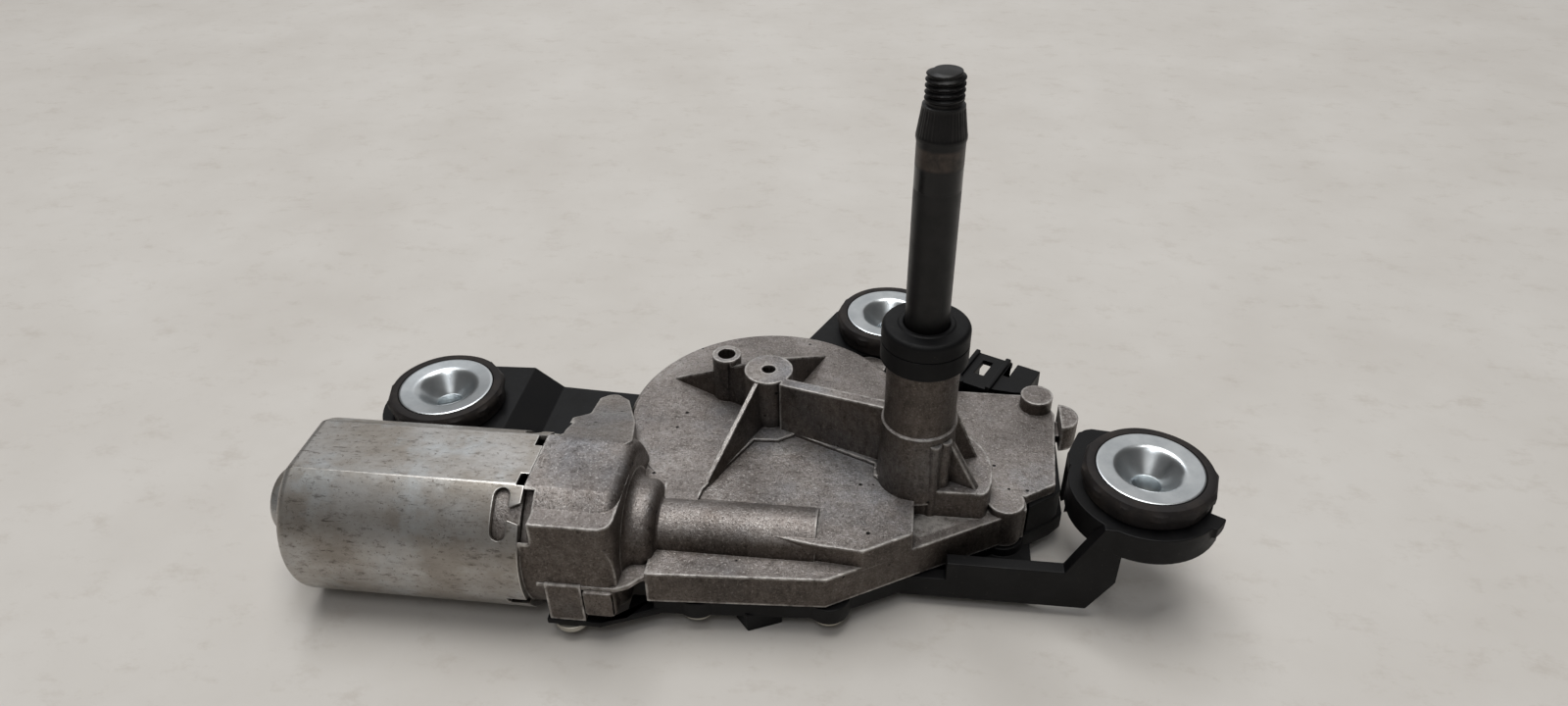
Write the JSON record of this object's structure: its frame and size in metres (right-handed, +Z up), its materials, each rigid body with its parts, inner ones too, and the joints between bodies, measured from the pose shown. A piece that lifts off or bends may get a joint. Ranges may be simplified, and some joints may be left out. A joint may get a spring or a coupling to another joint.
{
  "type": "wiper motor",
  "caption": "Rear wiper motor: crimped motor can on a die-cast gear housing, a reciprocating output spindle, and a moulded bracket cover with rubber-mounted lugs.",
  "frame": {"origin": "on the output spindle's axis, in the plane of the right-hand mounting bush's rim", "axes": "+Z up the spindle towards its thread, +X from the motor can towards the right-hand lug, +Y towards the connector side"},
  "size_m": [0.2316, 0.1239, 0.1283],
  "materials": {
    "die_cast_zinc": "as-cast light alloy, weathered grey-brown, worn bright on its edges",
    "galvanised_steel": "drawn and zinc-coated sheet, dull, with brown dirt",
    "ferrite": "matt charcoal grey sintered ferrite",
    "phenolic_board": "brown insulating board",
    "carbon": "dull carbon",
    "spring_steel": "plain spring steel",
    "sintered_bronze": "oiled sintered bronze",
    "bearing_steel": "polished bearing steel",
    "ground_steel": "ground steel",
    "seal_rubber": "black nitrile rubber",
    "black_plastic_cap": "black moulded plastic, satin",
    "black_plastic_cover": "black glass-filled nylon, satin",
    "zinc_plated_screw": "zinc-plated steel, slightly dulled",
    "tinned_brass": "tinned brass",
    "contact_brass": "spring brass strip",
    "grommet_rubber": "black rubber with brownish dust",
    "zinc_plated_bush": "bright zinc plating with a slight blue tint",
    "lamination_iron": "stacked sheet iron",
    "enamelled_copper": "enamelled copper wire",
    "bare_copper": "turned copper",
    "wheel_plastic": "natural acetal plastic",
    "black_phosphate_steel": "black phosphated steel, slightly polished by handling",
    "gear_steel": "sintered gear steel"
  },
  "bodies": {
    "unit": {"gear_housing": "die_cast_zinc", "motor_can": "galvanised_steel", "field_magnets": "ferrite", "brush_plate": "phenolic_board", "carbon_brushes": "carbon", "brush_springs": "spring_steel", "rear_bearing": "sintered_bronze", "front_bearing": "bearing_steel", "thrust_pad": "spring_steel", "wheel_axle": "ground_steel", "wheel_washer": "spring_steel", "spindle_bush_lower": "sintered_bronze", "spindle_bush_upper": "sintered_bronze", "shaft_seal": "seal_rubber", "spindle_cap": "black_plastic_cap", "cover_bracket": "black_plastic_cover", "housing_gasket": "seal_rubber", "cover_screws": "zinc_plated_screw", "connector_terminals": "tinned_brass", "park_contacts": "contact_brass", "grommet_left": "grommet_rubber", "grommet_right": "grommet_rubber", "grommet_rear": "grommet_rubber", "bush_left": "zinc_plated_bush", "bush_right": "zinc_plated_bush", "bush_rear": "zinc_plated_bush"},
    "armature": {"armature_shaft": "ground_steel", "lamination_stack": "lamination_iron", "windings": "enamelled_copper", "commutator": "bare_copper"},
    "wheel": {"worm_wheel": "wheel_plastic", "crank_pin": "ground_steel", "park_track": "contact_brass"},
    "output": {"spindle": "black_phosphate_steel", "output_pinion": "gear_steel", "spindle_clip": "spring_steel"},
    "rocker": {"rocker_link": "gear_steel", "coupler_pivot": "ground_steel"},
    "coupler": {"toothed_coupler": "gear_steel"}
  },
  "joints": [
    {"name": "armature_spin", "type": "hinge", "parent": "unit", "child": "armature", "pos_m": [-0.117, -0.0195, -0.0165], "axis": [1, 0, 0], "continuous": true},
    {"name": "wheel_turn", "type": "hinge", "parent": "unit", "child": "wheel", "pos_m": [-0.039, 0.0194, -0.0165], "axis": [0, 0, 1], "continuous": true},
    {"name": "spindle_swing", "type": "hinge", "parent": "unit", "child": "output", "pos_m": [0, 0, 0], "axis": [0, 0, 1], "range_deg": [0, 122]},
    {"name": "rocker_swing", "type": "hinge", "parent": "unit", "child": "rocker", "pos_m": [0, 0, -0.0273], "axis": [0, 0, 1], "range_deg": [0, 42.75]},
    {"name": "coupler_roll", "type": "hinge", "parent": "rocker", "child": "coupler", "pos_m": [0.01151, 0.02077, -0.0247], "axis": [0, 0, 1], "range_deg": [-46.3, 0]}
  ],
  "couplings": [
    {"joint": "wheel_turn", "follows": "armature_spin", "ratio": -0.014706},
    {"joint": "rocker_swing", "follows": "spindle_swing", "ratio": 0.35},
    {"joint": "coupler_roll", "follows": "spindle_swing", "ratio": -0.37917}
  ]
}
